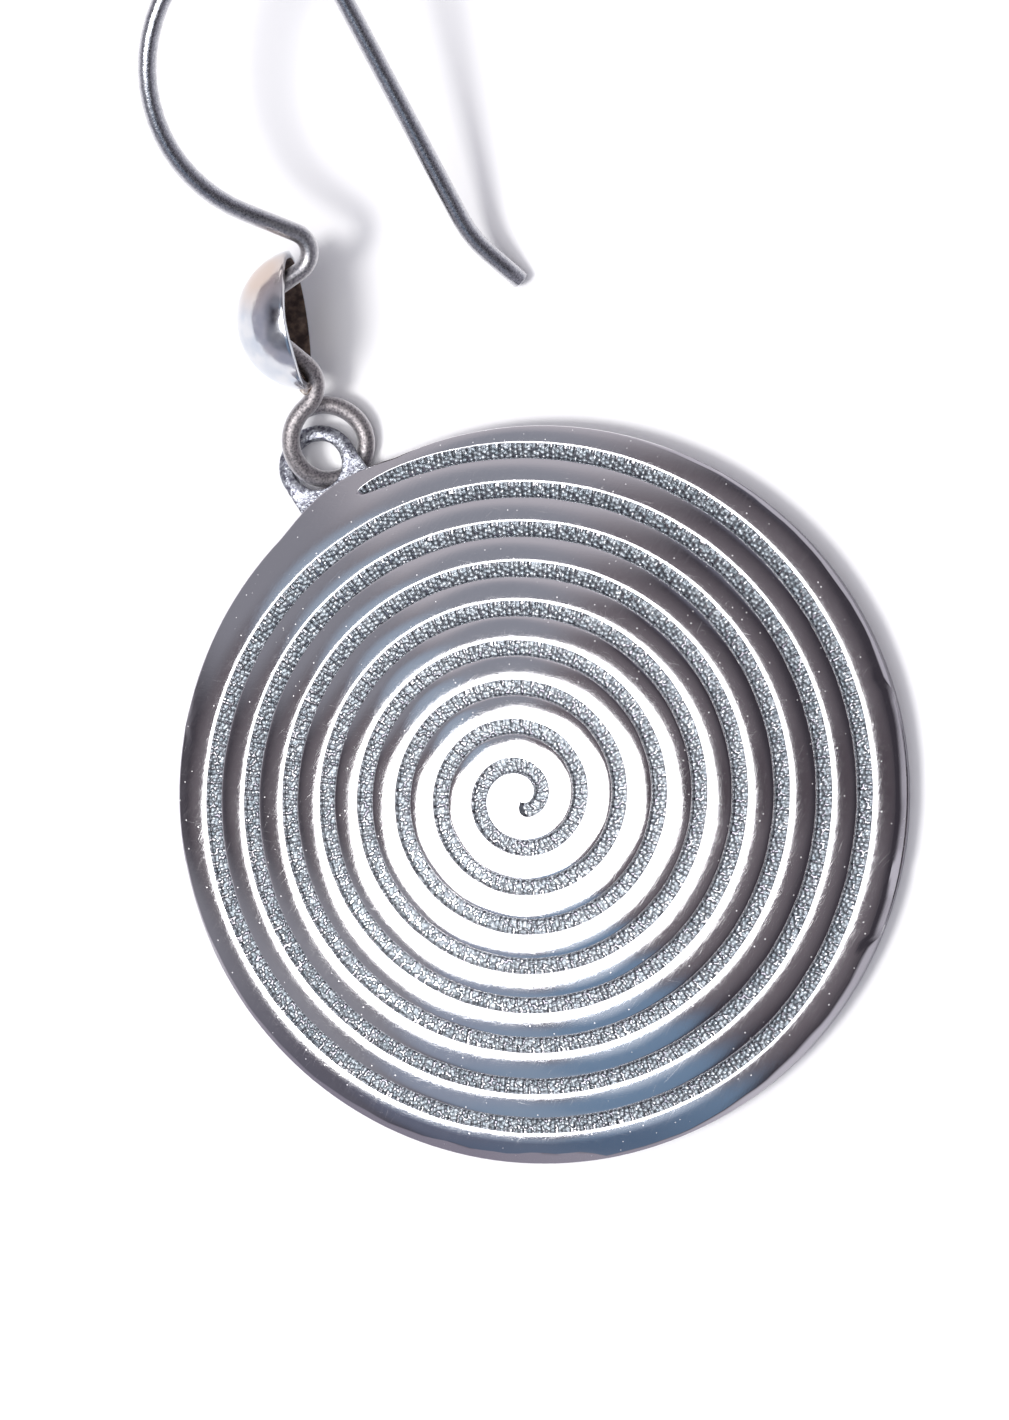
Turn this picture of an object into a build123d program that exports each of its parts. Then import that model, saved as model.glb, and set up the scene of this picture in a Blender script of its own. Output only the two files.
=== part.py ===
from build123d import *
import os
from math import asin, cos, degrees, pi, radians, sin, sqrt, tan

# Silver drop earring lying on its back. Millimetres and degrees.
# The origin is the centre of the disc's flat back edge, on the surface that it lies on.
# +Z points out of the decorated face, and +Y from the disc's centre to its bail.

# Disc: a domed shell of even wall, with a thicker rim that ends in a flat land on the back
disc_radius = 16.0
rim_height = 1.6
dome_rise = 2.0
shell_wall = 1.00
land_width = 1.0
rim_bevel = 0.15

# Spiral groove sunk in the domed face, from its round inner end to its pointed outer end
spiral_pitch = 1.711
spiral_start_radius = 0.615
spiral_start_angle = -99.4
spiral_turns = 8.513
spiral_shift_x = -0.43
spiral_shift_y = 0.21
groove_width = 0.62
groove_depth = 0.35
groove_point_angle = 10.0

# Bail: the flat ring cast on the disc's edge
bail_hole_radius = 1.10
bail_band = 0.66
bail_hole_gap = 0.38
bail_root = 0.80
bail_thickness = 0.45
bail_drop = 0.03

# Ear wire: one round wire, bent in one plane that leans on the surface
wire_diameter = 0.8
wire_azimuth = 13.5
wire_tilt = 28.5
eye_place_angle = 4.58
eye_rim_gap = 0.14
eye_lift = 0.02
eye_low_radius = 1.63
eye_high_radius = 1.93
neck_radius = 1.26
neck_turn = 97.8
stem_run_below = 2.72
stem_bend_radius = 0.80
stem_bend_turn = 104.4
stem_run_above = 1.99
shoulder_radius = 0.99
shoulder_turn = 122.4
left_limb_run = 2.40
bow_left_radius = 6.96
bow_right_radius = 3.74
kick_radius = 5.5
kick_turn = 20.6
kick_run = 1.99

# Free end of the eye: it stays low, so that it closes under the neck
eye_end_tilt = 13.0
eye_end_low_radius = 1.55
eye_end_low_turn = 80.0
eye_end_high_radius = 1.90
eye_end_high_turn = 85.0

# Cup: the half ball soldered over the stem
cup_radius = 3.04
cup_depth = 2.64
cup_wall = 0.35
cup_set_back = 0.32
cup_azimuth = 153.0
cup_lean = 4.0
solder_bite = 0.24

# Worked out from the sizes above
quarter_turn = degrees(pi / 2)
wire_radius = wire_diameter / 2
crown_height = rim_height + dome_rise
dome_radius = (disc_radius**2 + dome_rise**2) / (2 * dome_rise)
dome_centre_height = crown_height - dome_radius


def heading(angle):
    """Unit vector in a flat drawing, at an angle from its first axis."""
    return Vector(cos(radians(angle)), sin(radians(angle)))


def cap_arc(ball_radius, reach):
    """Arc of a ball about the dome's centre, from the disc's axis out to a distance from it."""
    drawn = [(x, dome_centre_height + sqrt(ball_radius**2 - x**2)) for x in (0, reach / 2, reach)]
    return ThreePointArc(*drawn)


def disc_body():
    """Domed shell turned about the disc's axis, with a bevelled rim and a hollow back."""
    face_edge = disc_radius - rim_bevel
    land_edge = disc_radius - land_width
    face = cap_arc(dome_radius, face_edge)
    back = cap_arc(dome_radius - shell_wall, land_edge)
    rim = Polyline(
        face @ 1,
        (disc_radius, rim_height - rim_bevel),
        (disc_radius, rim_bevel),
        (face_edge, 0),
        (land_edge, 0),
        back @ 1,
    )
    axis_line = Line(back @ 0, face @ 0)
    return revolve(Plane.XZ * make_face([face, rim, back, axis_line]), Axis.Z)


def spiral_side(offset, turned):
    """Quarter arcs along the spiral, at an offset from its middle line, out to an angle turned."""
    step = spiral_pitch / 4
    start = spiral_start_angle
    middle = Vector(spiral_shift_x, spiral_shift_y)
    centre = middle + (heading(start + quarter_turn) - heading(start)) * (step / 2)
    radius = spiral_start_radius + step / 2 + offset
    arcs = []
    while turned > 1e-6:
        arcs.append(CenterArc(centre, radius, start, min(turned, quarter_turn)))
        start += quarter_turn
        turned -= quarter_turn
        centre -= heading(start) * step
        radius += step
    return arcs


def groove_outline():
    """Flat outline of the groove: two sides, a round inner end and a pointed outer end."""
    half = groove_width / 2
    turned = spiral_turns * 360
    outer = spiral_side(half, turned - groove_point_angle)
    inner = spiral_side(-half, turned - groove_point_angle)
    point = spiral_side(0, turned)[-1] @ 1
    inner_end = CenterArc(
        spiral_side(0, quarter_turn)[0] @ 0, half, spiral_start_angle + 2 * quarter_turn, 2 * quarter_turn
    )
    outer_end = Polyline(outer[-1] @ 1, point, inner[-1] @ 1)
    return make_face(outer + inner + [inner_end, outer_end])


def bail():
    """Flat ring on a tab that runs into the rim and keeps the dome's slope there."""
    tab_length = bail_root + bail_hole_gap + bail_hole_radius
    tab = Circle(bail_hole_radius + bail_band)
    tab += Pos(0, -tab_length / 2) * Rectangle(2 * (bail_hole_radius + bail_band), tab_length)
    tab -= Circle(bail_hole_radius)
    ring = extrude(tab, -bail_thickness)
    dome_slope = degrees(asin(disc_radius / dome_radius))
    top = Pos(0, disc_radius, rim_height - bail_drop) * Rot(-dome_slope, 0, 0)
    return top * Pos(0, bail_hole_gap + bail_hole_radius, 0) * ring


def spiral_disc():
    """Cast disc with its sunk spiral and its bail, in one piece."""
    well = extrude(groove_outline(), crown_height + groove_depth)
    well -= Pos(0, 0, dome_centre_height) * Sphere(dome_radius - groove_depth)
    return disc_body() - well + bail()


class Bender:
    """Draws a wire in a flat plane, as runs and tangent bends one after the other."""

    def __init__(self, angle):
        self.place = Vector(0, 0)
        self.angle = angle
        self.edges = []

    def run(self, length):
        """Straight stretch."""
        end = self.place + heading(self.angle) * length
        self.edges.append(Line(self.place, end))
        self.place = end

    def bend(self, radius, turn):
        """Arc of a radius, to the left for a positive turn and to the right for a negative one."""
        side = quarter_turn if turn > 0 else -quarter_turn
        centre = self.place + heading(self.angle + side) * radius
        arc = CenterArc(centre, radius, self.angle - side, turn)
        self.edges.append(arc)
        self.place = centre + heading(self.angle - side + turn) * radius
        self.angle += turn


def leaning_plane(tilt):
    """Plane through the lowest point of the eye, level along its first axis and leaning back."""
    reach = disc_radius + eye_rim_gap + wire_radius
    low = Vector(
        reach * sin(radians(eye_place_angle)),
        reach * cos(radians(eye_place_angle)),
        wire_radius + eye_lift,
    )
    level = Vector(cos(radians(wire_azimuth)), sin(radians(wire_azimuth)), 0)
    lean = Vector(0, 0, 1).rotate(Axis((0, 0, 0), level), tilt)
    return Plane(origin=low, x_dir=level, z_dir=lean)


def wire_drawing():
    """The ear wire from the lowest point of its eye to its tip, in the leaning plane."""
    drawing = Bender(180)
    drawing.bend(eye_low_radius, -quarter_turn)
    drawing.bend(eye_high_radius, -neck_turn)
    drawing.bend(neck_radius, neck_turn)
    drawing.run(stem_run_below)
    mouth_low = drawing.edges[-1] @ 0
    drawing.bend(stem_bend_radius, -stem_bend_turn)
    drawing.run(stem_run_above)
    mouth_high = drawing.place
    drawing.bend(shoulder_radius, shoulder_turn)
    drawing.run(left_limb_run)
    drawing.bend(bow_left_radius, -drawing.angle)
    drawing.bend(bow_right_radius, -quarter_turn - kick_turn)
    kick_drop = kick_radius * sin(radians(kick_turn)) + kick_run
    drawing.run((drawing.place.Y - kick_drop) / cos(radians(kick_turn)))
    drawing.bend(kick_radius, kick_turn)
    drawing.run(kick_run)
    return drawing, (mouth_low + mouth_high) / 2


def eye_end_drawing():
    """The free end of the eye from its lowest point, in a plane that leans less."""
    drawing = Bender(0)
    drawing.bend(eye_end_low_radius, eye_end_low_turn)
    drawing.bend(eye_end_high_radius, eye_end_high_turn)
    return drawing


def cup(mouth):
    """Half ball over the stem, with its lip on the surface and its mouth leaning over it."""
    ball_radius = (cup_radius**2 + cup_depth**2) / (2 * cup_depth)
    ball_back = ball_radius - cup_depth
    bowl = Sphere(ball_radius) - Sphere(ball_radius - cup_wall)
    bowl -= Pos(0, 0, ball_back - ball_radius) * Box(3 * ball_radius, 3 * ball_radius, 2 * ball_radius)
    away = heading(cup_azimuth)
    place = Vector(mouth.X, mouth.Y, cup_radius * cos(radians(cup_lean))) + away * cup_set_back
    depth_line = away + Vector(0, 0, tan(radians(cup_lean)))
    return Plane(origin=place, z_dir=depth_line) * Pos(0, 0, -ball_back) * bowl


def solder(bowl, bend):
    """Bead of solder that fills the space between the cup and the middle of a bend of the wire."""
    middle = bend @ 0.5
    wall = bowl.distance_to_with_closest_points(middle)[1]
    reach = (middle - wall).length + solder_bite
    return Pos(*((middle + wall) / 2)) * Sphere(max(reach / 2, solder_bite))


def ear_hook():
    """Ear wire and cup, soldered into one piece at the stem's bend and at the neck."""
    main_plane = leaning_plane(wire_tilt)
    main, mouth = wire_drawing()
    end = eye_end_drawing()
    edges = [main_plane.from_local_coords(edge) for edge in main.edges]
    neck, stem_bend = edges[2], edges[4]
    edges += [leaning_plane(eye_end_tilt).from_local_coords(edge) for edge in end.edges]
    path = Wire(edges)
    section = Plane(origin=path @ 0, z_dir=path % 0) * Circle(wire_radius)
    wire = sweep(section, path)
    bowl = cup(main_plane.from_local_coords(mouth))
    return wire + bowl + solder(bowl, stem_bend) + solder(bowl, neck)


os.makedirs("parts", exist_ok=True)
export_step(spiral_disc(), "parts/spiral_disc.step")
export_step(ear_hook(), "parts/ear_hook.step")
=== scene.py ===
from math import cos, degrees, pi, radians, sin, sqrt, tan

import bmesh
import bpy
import numpy as np
from mathutils import Matrix, Vector
from mathutils.noise import noise as grain


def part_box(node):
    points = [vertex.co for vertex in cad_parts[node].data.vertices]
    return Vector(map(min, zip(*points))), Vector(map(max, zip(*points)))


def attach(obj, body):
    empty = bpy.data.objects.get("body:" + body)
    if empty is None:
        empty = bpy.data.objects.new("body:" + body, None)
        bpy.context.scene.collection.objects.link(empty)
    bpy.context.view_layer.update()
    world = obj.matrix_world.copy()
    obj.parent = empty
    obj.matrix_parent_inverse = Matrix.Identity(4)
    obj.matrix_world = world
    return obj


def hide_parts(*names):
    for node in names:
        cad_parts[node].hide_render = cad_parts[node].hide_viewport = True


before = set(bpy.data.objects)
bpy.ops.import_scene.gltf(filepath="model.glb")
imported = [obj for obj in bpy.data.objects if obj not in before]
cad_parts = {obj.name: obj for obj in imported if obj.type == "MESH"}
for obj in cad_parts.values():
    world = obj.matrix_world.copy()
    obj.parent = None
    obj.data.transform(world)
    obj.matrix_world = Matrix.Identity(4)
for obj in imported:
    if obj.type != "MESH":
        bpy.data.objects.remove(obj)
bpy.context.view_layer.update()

# Camera. The earring lies on its back and is seen from almost straight above, a little from
# the photograph's right, a hand's length away. The picture is turned on the part: its bail
# points to the upper left.
mm = 0.001
picture_height = 1420
pixels_per_mm = 23.1
picture_turn = radians(34.4)
look_lean = radians(9.8)
look_side = radians(2.0)
look_distance = 250 * mm
nearest_seen = 10 * mm
sensor_width = 36
rim_top = 1.6 * mm
disc_middle_in_picture = (538.3, 795.0)
picture_middle = (504.5, 710.0)

picture_right = Vector((cos(picture_turn), -sin(picture_turn), 0))
picture_up = Vector((sin(picture_turn), cos(picture_turn), 0))


def picture_way(right, up, towards):
    """A direction given as parts to the picture's right, up and towards the viewer."""
    return right * picture_right + up * picture_up + Vector((0, 0, towards))


look_back = picture_way(
    sin(look_lean) * cos(look_side), sin(look_lean) * sin(look_side), cos(look_lean)
)
level_across = picture_way(
    cos(look_lean) * cos(look_side), cos(look_lean) * sin(look_side), -sin(look_lean)
)
level_along = picture_way(-sin(look_side), cos(look_side), 0)
camera_right = cos(look_side) * level_across - sin(look_side) * level_along
camera_up = sin(look_side) * level_across + cos(look_side) * level_along
camera_data = bpy.data.cameras.new("camera")
camera_data.sensor_width = sensor_width
camera_data.lens = sensor_width * look_distance / mm * pixels_per_mm / picture_height
camera_data.shift_x = (picture_middle[0] - disc_middle_in_picture[0]) / picture_height
camera_data.shift_y = (disc_middle_in_picture[1] - picture_middle[1]) / picture_height
camera_data.clip_start = nearest_seen
camera = bpy.data.objects.new("camera", camera_data)
bpy.context.scene.collection.objects.link(camera)
camera_place = Matrix.Translation(Vector((0, 0, rim_top)) + look_distance * look_back)
camera_turn = Matrix((camera_right, camera_up, look_back)).transposed().to_4x4()
camera.matrix_world = camera_place @ camera_turn
bpy.context.scene.camera = camera

# Disc. One silver casting, a low dome with a thin filed rim and a hollow back. A groove is sunk
# in it that winds out from the middle for eight and a half turns and ends in a point by the
# bail. The band that stands between its turns is polished by hand, a little crowned.
disc_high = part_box("spiral_disc")[1]
disc_radius = disc_high.x
crown_height = disc_high.z
dome_rise = crown_height - rim_top
dome_radius = (disc_radius**2 + dome_rise**2) / (2 * dome_rise)
dome_centre_height = crown_height - dome_radius
dome_fullness = 0.394
shell_wall = 1.0 * mm
land_width = 1.0 * mm
rim_bevel = 0.15 * mm
rim_rounding = 0.05 * mm

spiral_middle = np.array((-0.43, 0.21)) * mm
spiral_pitch = 1.711 * mm
spiral_start_radius = 0.615 * mm
spiral_start_angle = -99.4
spiral_turns = 8.513
groove_half = 0.31 * mm
groove_depth = 0.35 * mm
groove_point_angle = 10.0
inner_draft = 0.07 * mm
outer_draft = 0.09 * mm
edge_round = 0.045 * mm
round_edge_turns = (0, 15, 30, 45, 60, 75, 90)
worn_edge_mm = ((0, 0.085), (0.045, 0.012), (0.055, 0.004), (0.075, 0.001), (0.10, 0))
hand_wave = 0.03
hand_waves = ((0.5, 2.1, 0), (0.3, 3.7, 1), (0.2, 7.9, 2))

# the band between the turns: its slopes across, and how it runs out where the groove ends
crown_slopes = (4.2, 4.0, 2.8)
crown_half = 0.515 * mm
crown_waves = ((0.07, 0.071, 0), (0.05, 0.173, 2))
crown_fade = 0.6 * mm
thinnest_band = 0.1 * mm
edges_most = 0.8
band_steps = 9
polish_loss = 0.012 * mm
joint_ramp = 30.0
joint_sink = 0.13 * mm

# how the groove's line and the face leave their true shapes, by degrees in the picture
line_wander, wander_phase = 0.06 * mm, 97
line_bulge, bulge_side = 0.11 * mm, 280
line_bumps = ((315, 22, 0.14 * mm), (180, 25, 0.05 * mm))
line_flat, flat_side, flat_fade = 0.06 * mm, 40, 5 * mm
outer_turns_start, outer_turns_fade = 10.5 * mm, 1.5 * mm
last_turn_start, last_turn_fade = 12 * mm, 2.2 * mm
droop_side, droop_reach, droop_fade = 262, 85, 40
droop_start, droop_rate = 10.5 * mm, 0.0048 / mm

# the filed rim: the facet's width in millimetres by degrees in the picture, and one nick
facet_slope = 22.0
facet_corners = (
    (0, 0.30), (26, 0.14), (65, 0.11), (90, 0.05), (184, 0.04), (200, 0.12), (240, 0.24),
    (262, 0.42), (278, 0.46), (280.5, 0.12), (298, 0.16), (310, 0.27), (345, 0.31), (360, 0.30),
)
facet_waves = ((0.10, 23, 0), (0.07, 51, radians(40)))
facet_least = 0.07 * mm
facet_edge = 0.03 * mm
facet_blend = 0.16 * mm
nick_angle, nick_span = 347.6, 1.3
nick_reach, nick_depth = 0.30 * mm, 0.35 * mm
tongue = 0.30 * mm
tongue_half = 11.0
tongue_fullness = 0.6
tongue_under = 0.9 * mm

# stations along the groove, in degrees: closer by the bail, where it ends
coarse_step, fine_step = 2, 0.5
fine_from, fine_to = 68, 92
turns_enough = 12

spiral_end_angle = spiral_start_angle + spiral_turns * 360
centre_angle = spiral_start_angle - spiral_start_radius / spiral_pitch * 360


def turn_from(side, angle):
    """Degrees from one side of the disc to an angle, between -180 and 180."""
    return (angle - side + 180) % 360 - 180


def swell(angle, side):
    """A wave once round the disc, from 1 at a side to 0 opposite it."""
    return 0.5 + 0.5 * np.cos(np.radians(angle - side))


def waves(parts, place):
    """Sum of sine waves, each given as its height, its pace and its start."""
    return sum(height * np.sin(pace * place + start) for height, pace, start in parts)


def smooth(share):
    """A share from 0 to 1 that starts and ends gently."""
    return share**2 * (3 - 2 * share)


def line_radius(turned):
    """How far the groove's middle line is from the spiral's middle, at an angle turned."""
    true = spiral_start_radius + spiral_pitch * (turned - spiral_start_angle) / 360
    angle = turned + degrees(picture_turn)
    outer_turns = np.clip((true - outer_turns_start) / outer_turns_fade, 0, 1)
    last_turn = np.clip((true - last_turn_start) / last_turn_fade, 0, 1)
    wander = np.sin(2 * np.radians(turned + wander_phase)) * np.clip(true / disc_radius, 0, 1)
    bulge = line_bulge * swell(angle, bulge_side) * outer_turns
    for side, spread, rise in line_bumps:
        bulge = bulge + rise * np.exp(-((turn_from(side, angle) / spread) ** 2)) * last_turn
    flat = line_flat * swell(angle, flat_side) * np.clip(true / flat_fade, 0, 1)
    return true + line_wander * wander + bulge - flat * (1 - outer_turns)


def rim_radius(angle):
    """Radius of the rim at an angle: by the bail the face runs out in a low tongue."""
    off = np.clip(np.abs(turn_from(90, angle)) / tongue_half, 0, 1)
    return disc_radius + tongue * np.where(off < 1, swell(180 * off, 0), 0) ** tongue_fullness


def rim_reach(turned):
    """How far the disc's rim is from the spiral's middle, at an angle, found in a few tries."""
    way = np.stack((np.cos(np.radians(turned)), np.sin(np.radians(turned))), -1)
    along = way @ spiral_middle
    rim = disc_radius
    for _ in range(3):
        reach = -along + np.sqrt(along**2 + rim**2 - spiral_middle @ spiral_middle)
        point = spiral_middle + way * reach[..., None]
        rim = rim_radius(np.degrees(np.arctan2(point[..., 1], point[..., 0])))
    return -along + np.sqrt(along**2 + rim**2 - spiral_middle @ spiral_middle)


def groove_open(turned):
    """The groove's share of its full width: round at the inner end and pointed at the outer."""
    to_point = np.clip((spiral_end_angle - turned) / groove_point_angle, 0, 1)
    past_start = np.radians(spiral_start_angle - turned) * spiral_start_radius / groove_half
    cap = np.sqrt(np.clip(1 - np.clip(past_start, 0, 1) ** 2, 0, 1))
    return np.sqrt(1 - (1 - to_point) ** 2) * cap


def joint_share(turned):
    """Share of the groove's closing: it rises gently to 1 at the groove's pointed end."""
    return smooth(np.clip((turned - spiral_end_angle) / joint_ramp + 1, 0, 1))


def along_line(turned):
    """Length of the groove's middle line, in millimetres, from the spiral's middle."""
    return np.radians(turned - centre_angle) ** 2 * spiral_pitch / mm / (4 * pi)


def hand(turned):
    """The small unevenness of a line cut by hand, between about -1 and 1."""
    return waves(hand_waves, along_line(turned))


def angle_in_picture(x, y):
    """Degrees about the disc's axis, from the picture's right."""
    return np.degrees(np.arctan2(y, x)) + degrees(picture_turn)


def dome_height(x, y):
    """Height of the dome, which falls fastest half-way out and droops a little at one side."""
    out = np.hypot(x, y)
    share = (out / disc_radius) ** 2
    off_droop = np.abs(turn_from(droop_side, angle_in_picture(x, y)))
    at_droop = smooth(np.clip((droop_reach - off_droop) / droop_fade, 0, 1))
    droop = droop_rate * np.clip(out - droop_start, 0, None) ** 2 * at_droop
    fall = dome_rise * ((1 + dome_fullness) * share - dome_fullness * share**2)
    return crown_height - fall - droop


def rim_facet(angle):
    """Width of the facet that filing left on the rim, at an angle in the picture."""
    ragged = 1 + waves(facet_waves, np.radians(angle))
    return np.interp(angle % 360, *zip(*facet_corners)) * mm * ragged


def rim_drop(x, y):
    """How far the rounded and filed rim lies below the dome."""
    angle = angle_in_picture(x, y)
    rim = rim_radius(angle - degrees(picture_turn))
    inward = np.clip(rim - np.hypot(x, y), 0, None)
    close = np.clip(1 - inward / rim_rounding, 0, 1)
    rounded = rim_rounding * (1 - np.sqrt(1 - close**2))
    filed = np.clip(rim_facet(angle) - inward, 0, None) * tan(radians(facet_slope))
    nick_wide = np.clip(1 - np.abs(turn_from(nick_angle, angle)) / nick_span, 0, 1)
    nick = nick_wide * np.clip(1 - inward / nick_reach, 0, 1) * nick_depth
    return np.maximum(np.maximum(rounded, filed), nick)


fine_angles = np.arange(fine_from, fine_to, fine_step)
coarse_angles = [a for a in range(-180, 180, coarse_step) if not fine_from <= a < fine_to]
angles_in_turn = sorted([*fine_angles, *coarse_angles])
first_turn = int((centre_angle + 180) // 360)
turned = np.array([a + 360 * k for k in range(first_turn, turns_enough) for a in angles_in_turn])
touch = turned[line_radius(turned) >= rim_reach(turned)].min()
turned = turned[(turned >= centre_angle) & (turned <= touch + 360)]
turned = np.concatenate(([centre_angle], turned))

# one band of the face: from the groove's middle line a turn further in, or the middle, to the
# middle line of this turn, or the rim
rim_now = rim_reach(turned)
inner = np.clip(line_radius(turned - 360), 0, rim_now)
outer = np.minimum(line_radius(turned), rim_now)
width = outer - inner
at_rim = outer >= rim_now - 1e-9
has_inner = (line_radius(turned - 360) > 0) & (turned - 360 >= centre_angle)
open_inner = np.where(has_inner, groove_open(turned - 360), 0)
open_outer = np.where(at_rim, 0, groove_open(turned))


def groove_side(share, wave, draft, edge):
    """Stations from the groove's middle line up its wall and over the band's edge."""
    half = groove_half * share * (1 + hand_wave * wave)
    deep = groove_depth * share**0.5
    size = np.minimum(1, 4 * share)
    stations = [(0 * half, deep), (np.clip(half - draft, 0, None), deep)]
    return stations + [(half + away * size, np.minimum(down * size, deep)) for away, down in edge]


round_edge = [
    (edge_round * (1 - cos(radians(turn))), edge_round * (1 - sin(radians(turn))))
    for turn in round_edge_turns
]
worn_edge = [(away * mm, down * mm) for away, down in worn_edge_mm]
from_inner = groove_side(open_inner, hand(turned - 360), inner_draft, round_edge)
to_groove = groove_side(open_outer, hand(turned), outer_draft, worn_edge)
rim_x = spiral_middle[0] + rim_now * np.cos(np.radians(turned))
rim_y = spiral_middle[1] + rim_now * np.sin(np.radians(turned))
facet = np.clip(rim_facet(angle_in_picture(rim_x, rim_y)), facet_least, None)
rim_steps = (
    0, 0.4 * rim_rounding, rim_rounding, 0.5 * facet + facet_edge,
    facet, facet + facet_edge, facet + facet_blend,
)
from_outer = [
    (np.where(at_rim, step, away), np.where(at_rim, 0, down))
    for step, (away, down) in zip(rim_steps, to_groove)
]
used = from_inner[-1][0] + from_outer[-1][0]
squeeze = np.minimum(1, edges_most * width / np.maximum(used, 1e-9))
plain_from = from_inner[-1][0] * squeeze
plain_to = width - from_outer[-1][0] * squeeze
places = [(away * squeeze, down) for away, down in from_inner]
for step in range(1, band_steps):
    places.append((plain_from + (plain_to - plain_from) * step / band_steps, 0 * width))
places += [(width - away * squeeze, down) for away, down in reversed(from_outer)]
across = np.stack([inner + away for away, _ in places])
groove_drop = np.stack([down + 0 * width for _, down in places])


def crown_drop(start, stop, to_rim, turned):
    """How far the polished band falls below its inner edge: evenly where it runs to the rim."""
    full = np.clip(stop - start, thinnest_band, None)
    half = np.where(to_rim, np.minimum(full / 2, crown_half), full / 2)
    along = (across - start) / half - 1
    share = np.clip(along, -1, 1)
    lean, curve, roll = (tan(radians(slope)) for slope in crown_slopes)
    roll = roll * np.where(to_rim, np.clip(2 - full / (2 * crown_half), 0, 1), 1)
    fall = lean * (1 + share) + curve * (share**2 - 1) / 2 + roll * (share**4 - 1) / 4
    fall = fall + (lean + curve + roll) * np.clip(along - 1, 0, None)
    strength = np.where(to_rim, 1, half / crown_half) * np.clip(inner / crown_fade, 0, 1)
    return fall * half * strength * (1 + waves(crown_waves, turned))


own_end = np.where(at_rim, rim_now, outer - groove_half)
own_drop = crown_drop(inner + groove_half, own_end, at_rim, turned)
joint_turned = np.where(turned - 360 > spiral_end_angle - joint_ramp, turned - 360, turned)
joint_start = line_radius(joint_turned - 360) + groove_half
joint_drop = crown_drop(joint_start, rim_now, True, joint_turned)
closed_inner = joint_share(turned - 360)
closed_outer = np.where(at_rim, 0, joint_share(turned))
closed = np.maximum(closed_inner, closed_outer)
band_drop = joint_drop * closed + own_drop * (1 - closed)
band_drop[:2] = joint_drop[:2] * closed_inner
band_drop[-2:] = np.where(at_rim, band_drop[-2:], joint_drop[-2:] * closed_outer)
x = spiral_middle[0] + across * np.cos(np.radians(turned))
y = spiral_middle[1] + across * np.sin(np.radians(turned))
z = dome_height(x, y) - groove_drop - polish_loss - band_drop - rim_drop(x, y)

# oxide that the cloth left: on the groove's walls, and along one stretch of the rim
wall_oxide = 0.45
oxide_from, oxide_fade = 0.07 * mm, 0.15 * mm
rim_oxide_from, rim_oxide_fade = 0.33 * mm, 0.15 * mm
rim_oxide = ((0, 0), (195, 0), (228, 0.85), (262, 0.85), (290, 0.6), (308, 0), (360, 0))
on_inner_wall = np.arange(len(places))[:, None] < len(from_inner)
wall_share = np.clip((groove_drop - oxide_from) / oxide_fade, 0, 1)
wall_share = wall_share * np.where(on_inner_wall, wall_oxide, 1)
rim_share = np.clip((across - joint_start - rim_oxide_from) / rim_oxide_fade, 0, 1)
rim_share = rim_share * (turned > spiral_end_angle)
rim_share = rim_share * np.interp((turned + degrees(picture_turn)) % 360, *zip(*rim_oxide))

same_point = 0.0015 * mm
no_length = 0.0005 * mm
middle_point = 0.012 * mm
most_hole_edges = 60

bpy.ops.mesh.primitive_grid_add(
    x_subdivisions=len(turned) - 1, y_subdivisions=len(places) - 1, size=1
)
disc = bpy.context.object
disc.name = "disc"
disc.data.vertices.foreach_set("co", np.stack((x, y, z), -1).reshape(-1))
sunk = disc.data.attributes.new("sunk", "FLOAT", "POINT")
sunk.data.foreach_set("value", np.maximum(wall_share, rim_share).reshape(-1))
bpy.ops.object.mode_set(mode="EDIT")
bpy.ops.mesh.select_all(action="SELECT")
bpy.ops.mesh.remove_doubles(threshold=same_point)
bpy.ops.mesh.select_all(action="DESELECT")
face_mesh = bmesh.from_edit_mesh(disc.data)
for point in face_mesh.verts:
    point.select = (point.co.xy - Vector(spiral_middle)).length < middle_point
bmesh.update_edit_mesh(disc.data)
bpy.ops.mesh.merge(type="CENTER")
bpy.ops.mesh.select_all(action="SELECT")
bpy.ops.mesh.dissolve_degenerate(threshold=no_length)
bpy.ops.mesh.fill_holes(sides=most_hole_edges)
bpy.ops.mesh.select_mode(type="EDGE")
bpy.ops.mesh.select_all(action="DESELECT")
bpy.ops.mesh.select_non_manifold(extend=False)


def next_ring(before, after, flatten=False):
    """Extrudes the open edge from one radius and height about the disc's axis to the next."""
    share = after[0] / before[0]
    bpy.ops.mesh.extrude_region_move()
    bpy.ops.transform.resize(value=(share, share, 0 if flatten else 1), center_override=(0, 0, 0))
    bpy.ops.transform.translate(value=(0, 0, after[1] - (0 if flatten else before[1])))


# the side and the back: straight down from the face, round the bevel and the land, and up into
# the hollow. The tongue by the bail is left overhanging, so the side starts below it.
back_radius = dome_radius - shell_wall
land_inside = disc_radius - land_width
hollow_shares = (1, 0.9, 0.78, 0.64, 0.5, 0.36, 0.22, 0.1)
overhang_low = (disc_radius, tongue_under)
side_top = (disc_radius, tongue_under - 0.01 * mm)
next_ring((disc_radius, 0), overhang_low, flatten=True)
next_ring(overhang_low, side_top)
underside = bmesh.from_edit_mesh(disc.data)
for point in underside.verts:
    if point.select:
        point.co.xy = point.co.xy.normalized() * disc_radius
bmesh.update_edit_mesh(disc.data)
profile = [
    side_top,
    (disc_radius, rim_bevel),
    (disc_radius - 0.3 * rim_bevel, 0.3 * rim_bevel),
    (disc_radius - rim_bevel, 0),
    (land_inside, 0),
]
for share in hollow_shares:
    radius = land_inside * share
    profile.append((radius, dome_centre_height + sqrt(back_radius**2 - radius**2)))
for before, after in zip(profile, profile[1:]):
    next_ring(before, after)
bpy.ops.mesh.edge_face_add()
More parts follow.
